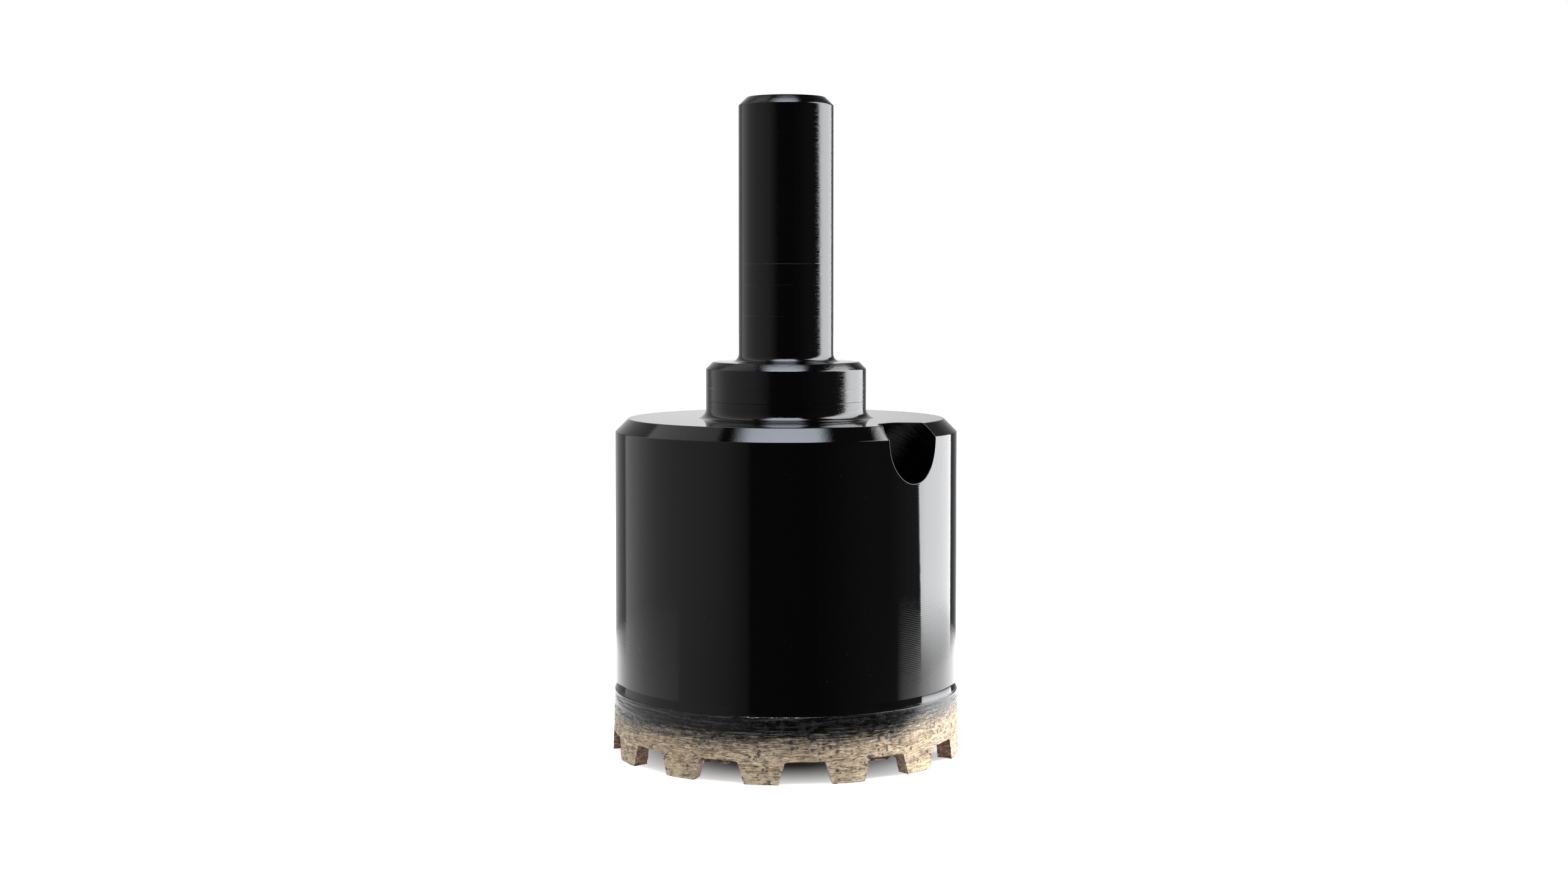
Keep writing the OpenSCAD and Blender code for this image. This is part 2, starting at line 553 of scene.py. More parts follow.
def turned_line_group(name):
    """One turned groove or ridge at a level, with its Height in mm."""
    tree, given, out = new_group(name, ("Height",), Level=0.0, Width=0.1, Depth=-0.01)
    vector = given["Vector"]
    wander = times(tree, noise(tree, vector, 0.5, 3.0), 0.1)
    place = total(tree, level_of(tree, vector), wander, -0.05)
    off = maths(tree, "ABSOLUTE", maths(tree, "SUBTRACT", place, given["Level"]))
    line = ease(tree, maths(tree, "DIVIDE", off, given["Width"]), 0.0, 1.0, 1, 0)
    tree.links.new(times(tree, line, given["Depth"]), out["Height"])
    return tree


def specks_group(name):
    """Small round specks here and there: dust on the paint, and painted glints on the crown. Mask is
    1 on a speck.
    """
    tree, given, out = new_group(name, ("Mask",), Spacing=1.2, Size=0.05)
    reach, lot = scattered(tree, given["Vector"], given["Spacing"], "X")
    inside = maths(tree, "LESS_THAN", reach, given["Size"])
    picked = maths(tree, "GREATER_THAN", lot, 0.55)
    tree.links.new(times(tree, inside, picked), out["Mask"])
    return tree


def hairlines_group(name):
    """Long hairline scratches that run round the axis. Mask is 1 in a scratch."""
    tree, given, out = new_group(name, ("Mask",), Amount=0.3)
    vector = given["Vector"]
    fine = noise(tree, vector, 1.0, 3.0, 0.6, stretch=(0.12, 0.12, 5.5))
    line = contour(tree, fine, 0.0, 0.012)
    patch = total(tree, noise(tree, vector, 0.22, shift=(3, 9, 4)), given["Amount"])
    tree.links.new(times(tree, line, ease(tree, patch, 1.0, 1.1)), out["Mask"])
    return tree


def streaks_group(name):
    """Streaks ground round the axis. Fac is low in a dark streak and high on a bright ridge."""
    tree, given, out = new_group(name, ("Fac",), Fineness=1.0)
    place = scaled(tree, given["Vector"], given["Fineness"])
    broad = noise(tree, place, 1.0, 4.0, 0.7, stretch=(0.35, 0.35, 4.5))
    fine = noise(tree, place, 1.0, 3.0, 0.7, stretch=(0.9, 0.9, 9.0), shift=(5, 2, 8))
    both = total(tree, times(tree, broad, 0.55), times(tree, fine, 0.45))
    tree.links.new(ease(tree, both, 0.36, 0.64), out["Fac"])
    return tree


def grains_group(name):
    """Small uneven spots, thicker in some places than in others. Mask is 1 in a spot."""
    tree, given, out = new_group(name, ("Mask",), Spacing=1.0, Size=0.2)
    vector, size = given["Vector"], given["Size"]
    wobble = add_node(tree, "ShaderNodeTexNoise", {"Vector": vector, "Scale": 7.0, "Detail": 3.0})
    thrown = scaled(tree, wobble.outputs["Color"], times(tree, size, 2.4))
    place = vector_maths(tree, "ADD", thrown, vector)
    reach, lot = scattered(tree, place, given["Spacing"], "Y")
    crowd = ease(tree, noise(tree, vector, 0.35, 2.0, shift=(4, 4, 4)), 0.38, 0.62, 0.3, 1.35)
    bound = times(tree, size, crowd, ease(tree, lot, 0.25, 1.0, 0.1, 1.3))
    inside = ease(tree, maths(tree, "DIVIDE", reach, bound), 0.75, 1.15, 1, 0)
    broken = ease(tree, noise(tree, vector, 8.0, 2.0, 0.6), 0.3, 0.5, 0.6, 1)
    tree.links.new(times(tree, inside, broken), out["Mask"])
    return tree


def combed_group(name):
    """Short fine lines that run round the axis, in patches. Mask is 1 on a line."""
    tree, given, out = new_group(name, ("Mask",))
    vector = given["Vector"]
    fine = noise(tree, vector, 1.0, 3.0, 0.6, stretch=(0.75, 0.75, 6.5), shift=(8, 3, 1))
    line = contour(tree, fine, 0.01, 0.06)
    patch = noise(tree, vector, 0.8, 3.0, 0.6, stretch=(1, 1, 2), shift=(2, 7, 5))
    tree.links.new(times(tree, line, ease(tree, patch, 0.4, 0.62)), out["Mask"])
    return tree


EFFECTS = {
    "Turning rings": rings_group,
    "Tool marks": tool_marks_group,
    "Turned line": turned_line_group,
    "Dust and glint specks": specks_group,
    "Hairlines": hairlines_group,
    "Ground streaks": streaks_group,
    "Grains": grains_group,
    "Combed lines": combed_group,
}


def effect(tree, name, **inputs):
    """Places one of the effects in a material and returns its outputs. Its group is built once."""
    group = bpy.data.node_groups.get(name)
    if group is None:
        group = EFFECTS[name](name)
    return add_node(tree, "ShaderNodeGroup", inputs, node_tree=group).outputs


def new_material(name):
    """A node material, its tree and its Principled shader."""
    made = bpy.data.materials.new(name)
    made.use_nodes = True
    return made, made.node_tree, made.node_tree.nodes["Principled BSDF"]


def bump(tree, shader, height, normal=None):
    """Feeds a height in millimetres to the shader's normal, on top of another normal if given."""
    inputs = {"Height": height, "Distance": MM}
    if normal:
        inputs["Normal"] = normal
    made = add_node(tree, "ShaderNodeBump", inputs)
    tree.links.new(made.outputs["Normal"], shader.inputs["Normal"])


def paint_shader(tree, shader, settings, vector, height, rough, normal=None):
    """Gloss paint over a ground with this height, with dust and hairline scratches on it."""
    dust = effect(tree, "Dust and glint specks", Vector=vector, Spacing=1.3, Size=0.04)["Mask"]
    scratch = effect(tree, "Hairlines", Vector=vector, Amount=0.27)["Mask"]
    dusty = blend(tree, dust, settings.paint, DUST)
    shown = blend(tree, times(tree, scratch, 0.5), dusty, SCRATCH)
    tree.links.new(shown, shader.inputs["Base Color"])
    worn = times(tree, maths(tree, "MAXIMUM", dust, times(tree, scratch, 0.4)), 0.3)
    tree.links.new(total(tree, rough, worn), shader.inputs["Roughness"])
    peel = times(tree, noise(tree, vector, 1.1, 2.0), 0.0025)
    bump(tree, shader, total(tree, height, peel, times(tree, scratch, -0.004)), normal)


def painted_material(settings):
    """Gloss black paint over the turned outside: even rings on the cup, rougher marks above it."""
    made, tree, shader = new_material("gloss_black_paint")
    vector = own_place(tree)
    level = level_of(tree, vector)
    seat = CROWN_HIGH.z / MM
    shoulder = (CROWN_HIGH.z + settings.cup_h) / MM
    flare_top = (CROWN_HIGH.z + settings.flare_h) / MM
    neck = ease(tree, level, shoulder + 0.1, shoulder + 0.9)
    on_cup = zone(tree, level, (flare_top, flare_top + 0.06), (shoulder - 2, shoulder - 1.5))
    on_chamfer = zone(
        tree, level, (shoulder - 1.75, shoulder - 1.6), (shoulder + 0.1, shoulder + 0.4)
    )
    rings = effect(
        tree, "Turning rings", Vector=vector, Pitch=settings.ring_pitch / MM,
        Lean=times(tree, on_cup, 0.0105),
    )
    marks = effect(tree, "Tool marks", Vector=vector, Depth=0.009)
    lines = [
        effect(tree, "Turned line", Vector=vector, Level=at, Width=width, Depth=depth)["Height"]
        for at, width, depth in TURNED_LINES
    ]
    cloud = ease(tree, noise(tree, vector, 0.35, 3.0), 0.3, 0.7, 0.035, 0.05)
    torn = noise(tree, vector, 1.0, 4.0, 0.8, stretch=(0.5, 0.5, 6), shift=(1, 8, 3))
    ground = ease(tree, total(tree, level, times(tree, torn, 1.1)), seat + 0.7, seat + 0.84, 1, 0)
    rough = total(
        tree, cloud, times(tree, rings["Wave"], on_cup, 0.012),
        times(tree, marks["Rub"], neck, 0.06), times(tree, ground, 0.2),
    )
    coarse = times(tree, on_chamfer, noise(tree, vector, 5.0, 2.0), 0.003)
    height = total(tree, times(tree, marks["Height"], neck), coarse, *lines)
    paint_shader(tree, shader, settings, vector, height, rough, rings["Normal"])
    return made


def drilled_material(settings):
    """Black paint over the drill's marks, which run round the slanted hole."""
    made, tree, shader = new_material("drilled_black_paint")
    vector = own_place(tree)
    turned = add_node(
        tree, "ShaderNodeMapping",
        {"Vector": vector, "Rotation": (0, -(math.pi / 2 - settings.hole_tilt), 0)},
    ).outputs[0]
    marks = effect(tree, "Tool marks", Vector=turned, Depth=0.02)
    rough = ease(tree, marks["Rub"], 0.0, 1.0, 0.12, 0.4)
    shader.inputs["Specular IOR Level"].default_value = 0.2
    paint_shader(tree, shader, settings, vector, marks["Height"], rough)
    return made


def facing(tree, vector, turn):
    """How far a place reaches in one level direction, given as a turn from +X."""
    way = (math.cos(turn), math.sin(turn), 0)
    return add_node(
        tree, "ShaderNodeVectorMath", {0: vector, 1: way}, operation="DOT_PRODUCT"
    ).outputs["Value"]


def overspray(tree, vector, streak, settings):
    """Share of paint on the crown: none near the tips, all of it at the seam, ragged between."""
    ragged = noise(tree, vector, 1.0, 4.0, 0.8, stretch=(0.3, 0.3, 6.5), shift=(2, 6, 1))
    spotty = noise(tree, vector, 1.6, 3.0, 0.7, shift=(5, 5, 2))
    swell = noise(tree, vector, 0.07, 1.0, shift=(9, 1, 5))
    rim = CROWN_HIGH.x / MM
    thin = ease(tree, facing(tree, vector, settings.thin_turn), 0.89 * rim, 0.975 * rim)
    edge = total(
        tree, level_of(tree, vector), times(tree, ragged, 4.0), times(tree, spotty, 1.6),
        times(tree, swell, 2.0), times(tree, streak, -0.8), times(tree, thin, -1.4), -3.4,
    )
    return ease(tree, edge, 3.5, 6.3)


def worn_edge_glint(tree, vector, settings):
    """1 where the crown's top edge is rubbed bare, in the stretch of its round where the seam's
    highlight falls, so the bare metal is partly a painted glint.
    """
    rim, top = CROWN_HIGH.x / MM, CROWN_HIGH.z / MM
    stretch = ease(tree, facing(tree, vector, settings.worn_glint_turn), 0.93 * rim, 0.98 * rim)
    broken = noise(tree, vector, 1.0, 4.0, 0.8, stretch=(0.6, 0.6, 9), shift=(4, 1, 7))
    height = total(
        tree, level_of(tree, vector), times(tree, broken, 1.6), times(tree, stretch, 0.3)
    )
    return ease(tree, height, top + 1.07, top + 1.16)


def bronze_colour(tree, vector, settings, streak, combed, grains, shade):
    """Colour of the bare crown: streaks with painted highlights on their ridges, darker patches,
    pores with painted shade, dark grains, bright specks with painted glints, and painted light near
    the tips.
    """
    def tone(share):
        return tuple(min(1, part * share * shade) for part in settings.bronze)

    long_way = add_node(
        tree, "ShaderNodeMapping", {"Vector": vector, "Scale": (0.5, 0.5, 1.3)}
    ).outputs[0]
    pores = effect(tree, "Grains", Vector=long_way, Spacing=0.4, Size=0.09)["Mask"]
    # White specks: pale crystal tips with painted glints on them
    crystal_glints = effect(tree, "Dust and glint specks", Vector=vector, Spacing=0.5, Size=0.045)["Mask"]
    patches = noise(tree, vector, 1.0, 3.0, 0.7, stretch=(0.8, 0.8, 2.6), shift=(7, 3, 3))
    # Painted light: the bronze turns lighter towards the tips, for the light that the floor throws up
    tips = ease(tree, level_of(tree, vector), 0.5, 2.6, 0.35, 0)
    metal = blend(tree, streak, tone(0.55), tone(1.9))
    metal = blend(tree, tips, metal, tone(1.9))
    # Painted highlight: the tops of the streak ridges turn whitish
    metal = blend(tree, ease(tree, streak, 0.8, 1.0, 0, 0.4), metal, RIDGE_HIGHLIGHT)
    metal = blend(tree, ease(tree, patches, 0.45, 0.66, 0, 0.75), metal, tone(0.3))
    metal = blend(tree, times(tree, combed, 0.65), metal, DARK_LINE)
    # Painted shade: the pores are coloured near black
    metal = blend(tree, times(tree, pores, 0.8), metal, PORE_SHADE)
    metal = blend(tree, times(tree, grains, 0.9), metal, settings.grit)
    return blend(tree, crystal_glints, metal, CRYSTAL_GLINT), pores, crystal_glints


def crown_material(name, settings, paint, sides=False):
    """Sintered bronze, ground in streaks, with dark grains and with overspray along its top."""
    made, tree, shader = new_material(name)
    vector = own_place(tree)
    # The slot flanks are a darker copy of the bronze, and that darkness is painted shade
    if sides:
        streak = ease(tree, noise(tree, vector, 2.6, 4.0, 0.75), 0.32, 0.72)
        shader.inputs["Specular IOR Level"].default_value = 0.15
    else:
        streak = effect(tree, "Ground streaks", Vector=vector, Fineness=1.7)["Fac"]
    grains = effect(tree, "Grains", Vector=vector, Spacing=0.62, Size=0.185)["Mask"]
    combed = effect(tree, "Combed lines", Vector=vector)["Mask"]
    metal, pores, crystal_glints = bronze_colour(
        tree, vector, settings, streak, combed, grains, SLOT_PAINTED_SHADE if sides else WALL_SHADE
    )
    spray = overspray(tree, vector, streak, settings)
    # A bare stretch of the top edge: wear, and partly a painted glint where the seam's highlight
    # falls
    edge = worn_edge_glint(tree, vector, settings)
    scratched = blend(tree, times(tree, combed, 0.5), paint, RUBBED_PAINT)
    shown = blend(tree, edge, blend(tree, spray, metal, scratched), BARE_METAL_GLINT)
    tree.links.new(shown, shader.inputs["Base Color"])
    bare = times(tree, maths(tree, "SUBTRACT", 1.0, spray), maths(tree, "SUBTRACT", 1.0, grains))
    shiny = maths(tree, "MAXIMUM", times(tree, bare, 0.45), edge)
    tree.links.new(shiny, shader.inputs["Metallic"])
    metal_rough = total(tree, ease(tree, streak, 0.0, 1.0, 0.5, 0.34), times(tree, crystal_glints, -0.2))
    paint_rough = ease(tree, streak, 0.0, 1.0, 0.14, 0.07)
    tree.links.new(mixed(tree, spray, metal_rough, paint_rough), shader.inputs["Roughness"])
    pitted = total(
        tree, times(tree, grains, -0.04), times(tree, pores, -0.02), times(tree, combed, -0.02)
    )
    ridges = times(tree, streak, mixed(tree, spray, 0.035, 0.005))
    bump(tree, shader, total(tree, ridges, times(tree, pitted, mixed(tree, spray, 1.0, 0.1))))
    return made


def crystal_material():
    """Pale synthetic diamond crystals."""
    made, tree, shader = new_material("diamond_crystal")
    vector = own_place(tree)
    tint = ease(tree, noise(tree, vector, 1.3, 1.0), 0.3, 0.7)
    tree.links.new(blend(tree, tint, DIM_CRYSTAL, PALE_CRYSTAL), shader.inputs["Base Color"])
    frost = ease(tree, noise(tree, vector, 6.0), 0.3, 0.7, 0.12, 0.4)
    tree.links.new(frost, shader.inputs["Roughness"])
    shader.inputs["IOR"].default_value = 2.2
    return made


def draw_out(steps, radius, level):
    """Extrudes the selected disc from this radius and level through steps of a radius and level."""
    for new_radius, new_level in steps:
        bpy.ops.mesh.extrude_region_move(
            TRANSFORM_OT_translate={"value": (0, 0, new_level - level)}
        )
        grow = new_radius / radius
        bpy.ops.transform.resize(value=(grow, grow, 1), center_override=(0, 0, new_level))
        radius, level = new_radius, new_level


def cup_radius(settings):
    """Radius of the cup's wall, which stands back a little from the crown's top edge."""
    return CROWN_HIGH.x - bpy.context.scene.bit_crown.taper - settings.cup_inset


def flare_steps(settings):
    """Rings of the smooth flare above the crown, from the top one down, as radius and level."""
    cup_r, seat = cup_radius(settings), CROWN_HIGH.z
    steps = [(cup_r, seat + settings.flare_h + FLARE_GUARD)]
    for fall in (0.0, 0.25, 0.5, 0.75, 1.0):
        share = FLARE_START * fall + (1 - FLARE_START) * fall ** 2
        gain = (settings.cup_inset - settings.seam_step) * share
        steps.append((cup_r + gain, seat + settings.flare_h * (1 - fall)))
    return steps


def turn_body(settings):
    """The bar as turned and bored: shank, collar, cup and cavity, then its chamfers and fillets."""
    seat = CROWN_HIGH.z
    shoulder = seat + settings.cup_h
    collar = shoulder + settings.collar_h
    top = CAD_HIGH.z
    shank_r, collar_r = settings.shank_d / 2, settings.collar_d / 2
    cup_r = cup_radius(settings)
    cavity_r = CROWN_HIGH.x - bpy.context.scene.bit_crown.wall + settings.cavity_clearance
    ceiling = shoulder - settings.plate_t
    bpy.ops.mesh.primitive_cylinder_add(
        vertices=BODY_SEGMENTS, radius=shank_r, depth=top - collar, end_fill_type="TRIFAN",
        location=(0, 0, (top + collar) / 2),
    )
    piece = named("bit_body")
    apply_place(piece)
    edit(piece)
    select_parts("FACE", lambda face: all(abs(v.co.z - collar) < NEAR for v in face.verts))
    outside = [(collar_r, collar), (collar_r, shoulder), (cup_r, shoulder), (cup_r, ceiling + MM)]
    inside = [(cavity_r, seat), (cavity_r, ceiling)]
    draw_out(outside + flare_steps(settings) + inside, shank_r, collar)
    chamfers = (
        (shank_r, top, settings.shank_chamfer), (collar_r, collar, settings.collar_chamfer),
        (cup_r, shoulder, settings.shoulder_chamfer),
    )
    for radius, level, chamfer in chamfers:
        bevel_rings([(radius, level)], chamfer, 1)
    bevel_rings([(shank_r, collar)], settings.shank_fillet, 10)
    bevel_rings([(collar_r, shoulder)], settings.collar_fillet, 12)
    bevel_rings([(cavity_r, ceiling)], settings.cavity_fillet, 6)
    for radius, level, chamfer in chamfers:
        bevel_rings([(radius - chamfer, level), (radius, level - chamfer)], settings.edge_round, 4)
    bpy.ops.object.mode_set(mode="OBJECT")
    return piece


def hole_cutter(settings, material):
    """Cutter for the slanted ejection hole. Its ends stand clear of the shoulder and the plate."""
    hole_r = settings.hole_d / 2
    slope = settings.hole_tilt
    spare = MM
    edge = hole_r * math.cos(slope)
    up = (settings.hole_drop + edge) / math.sin(slope) + spare
    down = (settings.plate_t - settings.hole_drop + edge) / math.sin(slope) + spare
    mouth = Vector((cup_radius(settings), 0, CROWN_HIGH.z + settings.cup_h - settings.hole_drop))
    along = Vector((math.cos(slope), 0, math.sin(slope)))
    bpy.ops.mesh.primitive_cylinder_add(
        vertices=HOLE_SEGMENTS, radius=hole_r, depth=up + down,
        location=mouth + along * (up - down) / 2, rotation=(0, math.pi / 2 - slope, 0),
    )
    cutter = named("hole_cutter")
    cutter.data.materials.append(material)
    apply_place(cutter)
    return cutter


def hole_lip(body, settings):
    """The rolled lip of paint round the hole's mouth, drawn along the edge that the drill left."""
    edit(body)
    mouth_floor = CROWN_HIGH.z + settings.cup_h - settings.plate_t + MM
    select_parts(
        "EDGE",
        lambda edge: len({face.material_index for face in edge.link_faces}) == 2
        and min(v.co.z for v in edge.verts) > mouth_floor,
    )
    bpy.ops.mesh.duplicate()
    bpy.ops.mesh.separate(type="SELECTED")
    bpy.ops.object.mode_set(mode="OBJECT")
    lip = [item for item in bpy.context.selected_objects if item != body][0]
    lip.data.materials.clear()
    tidy_mesh(lip, 0.08 * MM)
    make_active(lip)
    bpy.ops.object.convert(target="CURVE")
    lip.data.bevel_depth = settings.lip_r
    lip.data.bevel_resolution = 2
    bpy.ops.object.convert(target="MESH")
    return named("hole_lip")


def section(name, inner_r, outer_r, low, high, material):
    """An upright rectangle beside the axis, to be spun round it."""
    bpy.ops.mesh.primitive_plane_add(
        size=1, location=((inner_r + outer_r) / 2, 0, (low + high) / 2),
        rotation=(math.pi / 2, 0, 0),
    )
    piece = named(name)
    piece.scale = (outer_r - inner_r, high - low, 1)
    piece.data.materials.append(material)
    apply_place(piece)
    return piece


def crown_sector(settings, material):
    """One slot's share of the crown, as a dense block centred on +X."""
    top, bore_r = CROWN_HIGH.z, CROWN_HIGH.x - settings.wall
    top_r = CROWN_HIGH.x - settings.taper
    lean = settings.taper - settings.ground
    share = 2 * math.pi / settings.tooth_count
    middle = (bore_r + top_r) / 2
    piece = section("crown_ring", bore_r, top_r, 0, top, material)
    edit(piece)
    select_parts("VERT", lambda v: v.co.z < NEAR and v.co.x > middle)
    bpy.ops.transform.translate(value=(lean, 0, 0))
    select_parts("VERT", lambda v: v.co.z > top - NEAR and v.co.x > middle)
    bpy.ops.mesh.bevel(offset=settings.seam_round, segments=4, affect="VERTICES")
    bpy.ops.mesh.select_all(action="SELECT")
    bpy.ops.mesh.delete(type="ONLY_FACE")
    for test, rows in (
        (lambda v: v.co.x > middle, CROWN_ROWS), (lambda v: v.co.x < middle, BORE_ROWS),
        (lambda v: v.co.z < NEAR, RIM_ROWS),
    ):
        select_parts(
            "EDGE", lambda edge: edge.calc_length() > MM and all(test(v) for v in edge.verts)
        )
        bpy.ops.mesh.subdivide(number_cuts=rows - 1)
    bpy.ops.mesh.select_all(action="SELECT")
    bpy.ops.mesh.edge_face_add()
    bpy.ops.mesh.spin(steps=CROWN_STEPS, angle=share, center=(0, 0, 0), axis=(0, 0, 1))
    bpy.ops.object.mode_set(mode="OBJECT")
    tidy_mesh(piece)
    # The spin may have gone either way round, so the block is turned back by half its own way
    far = max((math.atan2(v.co.y, v.co.x) for v in piece.data.vertices), key=abs)
    piece.rotation_euler.z = -math.copysign(share / 2, far)
    apply_place(piece)
    return piece


def slice_mesh(direction, first, last):
    """In edit mode, splits the faces by planes square to a direction, SLOT_CUT apart."""
    place = first
    while place < last:
        bpy.ops.mesh.select_all(action="SELECT")
        bpy.ops.mesh.bisect(plane_co=direction * place, plane_no=direction)
        place += SLOT_CUT


def slot_cutter(settings, material):
    """Cutter for one slot, straight through the wall along +X, with a fine grid on its faces."""
    tip_r = CROWN_HIGH.x
    bore_r = tip_r - settings.wall
    spare = MM
    low_w = settings.slot_w + 2 * (settings.tooth_h + spare) * math.tan(settings.flank_slope)
    start = math.sqrt(bore_r ** 2 - (low_w / 2) ** 2) - spare
    end = tip_r + spare
    bpy.ops.mesh.primitive_cube_add(
        size=1, location=((start + end) / 2, 0, (settings.tooth_h - spare) / 2)
    )
    cutter = named("slot_cutter")
    cutter.scale = (end - start, settings.slot_w, settings.tooth_h + spare)
    cutter.data.materials.append(material)
    apply_place(cutter)
    edit(cutter)
    select_parts("VERT", lambda v: v.co.z < 0)
    bpy.ops.transform.resize(value=(1, low_w / settings.slot_w, 1), center_override=(0, 0, -spare))
    select_parts(
        "EDGE",
        lambda edge: all(abs(v.co.z - settings.tooth_h) < NEAR for v in edge.verts)
        and abs(edge.verts[0].co.y - edge.verts[1].co.y) < NEAR,
    )
    tangent = settings.root_fillet * math.tan((math.pi / 2 - settings.flank_slope) / 2)
    bpy.ops.mesh.bevel(offset=tangent, segments=4, affect="EDGES")
    slice_mesh(Vector((1, 0, 0)), start + spare / 2, end - spare / 2)
    slice_mesh(Vector((0, 0, 1)), SLOT_CUT / 2, settings.tooth_h - settings.root_fillet)
    slice_mesh(Vector((0, 1, 0)), -settings.slot_w / 2 + settings.root_fillet, settings.slot_w / 2)
    bpy.ops.object.mode_set(mode="OBJECT")
    return cutter


def cut_crown(settings, materials):
    """The whole crown: a slotted share of the ring, spun round to all its places."""
    share = 2 * math.pi / settings.tooth_count
    piece = crown_sector(settings, materials[0])
    cutter = slot_cutter(settings, materials[1])
    cut_by(piece, cutter)
    edit(piece)

    def at_end(face):
        return all(
            abs(abs(math.atan2(v.co.y, v.co.x)) - share / 2) < NEAR_ANGLE for v in face.verts
        )

    select_parts("FACE", at_end)
    bpy.ops.mesh.delete(type="FACE")
    bpy.ops.mesh.select_all(action="SELECT")
    copies = settings.tooth_count - 1
    bpy.ops.mesh.spin(
        steps=copies, dupli=True, angle=share * copies, center=(0, 0, 0), axis=(0, 0, 1)
    )
    bpy.ops.object.mode_set(mode="OBJECT")
    piece.rotation_euler.z = settings.tooth_turn + share / 2
    apply_place(piece)
    tidy_mesh(piece)
    return piece


def rough_texture(name, depth, ramp_stops):
    """A cloud texture whose value passes through a ramp of (position, grey) stops."""
    made = bpy.data.textures.new(name, "CLOUDS")
    made.noise_scale = 1
    made.noise_depth = depth
    made.use_color_ramp = True
    stops = made.color_ramp.elements
    for stop, (position, grey) in zip(stops, ramp_stops):
        stop.position = position
        stop.color = (grey, grey, grey, 1)
    return made


def roughen(piece, group, texture, size, depth):
    """Sinks the surface where the texture is dark. size is the texture's grain along each axis."""
    bpy.ops.object.empty_add(location=(0, 0, 0))
    grain = bpy.context.object
    grain.scale = size
    bpy.context.view_layer.update()
    apply_modifier(
        piece, "DISPLACE", texture=texture, texture_coords="OBJECT",
        texture_coords_object=grain, strength=depth, mid_level=1.0, vertex_group=group,
    )
    remove(grain)


def mark_below(piece, level):
    """Puts all that lies below this level in a new vertex group, and returns the group's name."""
    edit(piece)
    bpy.ops.object.vertex_group_add()
    select_parts("VERT", lambda v: v.co.z < level)
    bpy.context.scene.tool_settings.vertex_group_weight = 1.0
    bpy.ops.object.vertex_group_assign()
    bpy.ops.object.mode_set(mode="OBJECT")
    return piece.vertex_groups[-1].name


def wear_crown(piece, settings):
    """Grinds streaks and pits into the crown. It only loses material, so it keeps its size."""
    below_seam = mark_below(piece, CROWN_HIGH.z - 0.2 * MM)
    below_paint = mark_below(piece, CROWN_HIGH.z - 1.9 * MM)
    streaks = rough_texture("streaks", 2, ((0.3, 0.0), (0.7, 1.0)))
    pits = rough_texture("pits", 2, ((0.30, 0.0), (0.42, 1.0)))
    chips = rough_texture("chips", 1, ((0.2, 0.0), (0.5, 1.0)))
    roughen(piece, below_seam, streaks, (5 * MM, 5 * MM, 0.3 * MM), settings.streak_depth)
    roughen(piece, below_paint, pits, (0.5 * MM, 0.5 * MM, 0.35 * MM), settings.pit_depth)
    roughen(piece, below_paint, chips, (1.3 * MM, 1.3 * MM, 1.3 * MM), settings.streak_depth)


def root_flash(settings, gap, material):
    """A thin wavy rim of metal that hangs from the root of one slot, at the bore."""
    bore_r = CROWN_HIGH.x - settings.wall
    inner_r = bore_r + 0.02 * MM
    reach = 2 * math.asin((settings.slot_w / 2 + 0.12 * MM) / bore_r)
    root = settings.tooth_h + 0.05 * MM
    piece = section(
        f"root_flash_{gap}", inner_r, inner_r + FLASH_THICK, root - FLASH_DROP, root, material
    )
    edit(piece)
    bpy.ops.mesh.select_all(action="SELECT")
    bpy.ops.mesh.spin(steps=FLASH_STEPS, angle=reach, center=(0, 0, 0), axis=(0, 0, 1))
    hanging = mark_below(piece, root - FLASH_DROP / 2)
    tidy_mesh(piece)
    share = 2 * math.pi / settings.tooth_count
    middle = sum((v.co for v in piece.data.vertices), Vector()) / len(piece.data.vertices)
    turn = settings.tooth_turn + (gap + 0.5) * share
    piece.rotation_euler.z = turn - math.atan2(middle.y, middle.x)
    apply_place(piece)
    wavy = rough_texture(f"wavy_{gap}", 1, ((0.3, 0.0), (0.7, 1.0)))
    wavy.noise_scale = WAVE_L
    apply_modifier(
        piece, "DISPLACE", texture=wavy, texture_coords="LOCAL", direction="Z",
        strength=WAVE_H, mid_level=0.0, vertex_group=hanging,
    )
    smooth(piece, 50)
    return piece


def one_crystal(material):
    """One blocky crystal: a rough ball with three sides split off."""
    bpy.ops.mesh.primitive_ico_sphere_add(subdivisions=1, radius=1)
    crystal = named("crystal")
    crystal.data.materials.append(material)
    edit(crystal)
    for normal in (Vector((1, 0.3, 0.5)), Vector((-0.4, 1, -0.2)), Vector((0.1, -0.6, 1))):
        bpy.ops.mesh.select_all(action="SELECT")
        bpy.ops.mesh.bisect(
            plane_co=normal.normalized() * 0.62, plane_no=normal, use_fill=True,
            clear_outer=True,
        )
    bpy.ops.object.mode_set(mode="OBJECT")
    return crystal


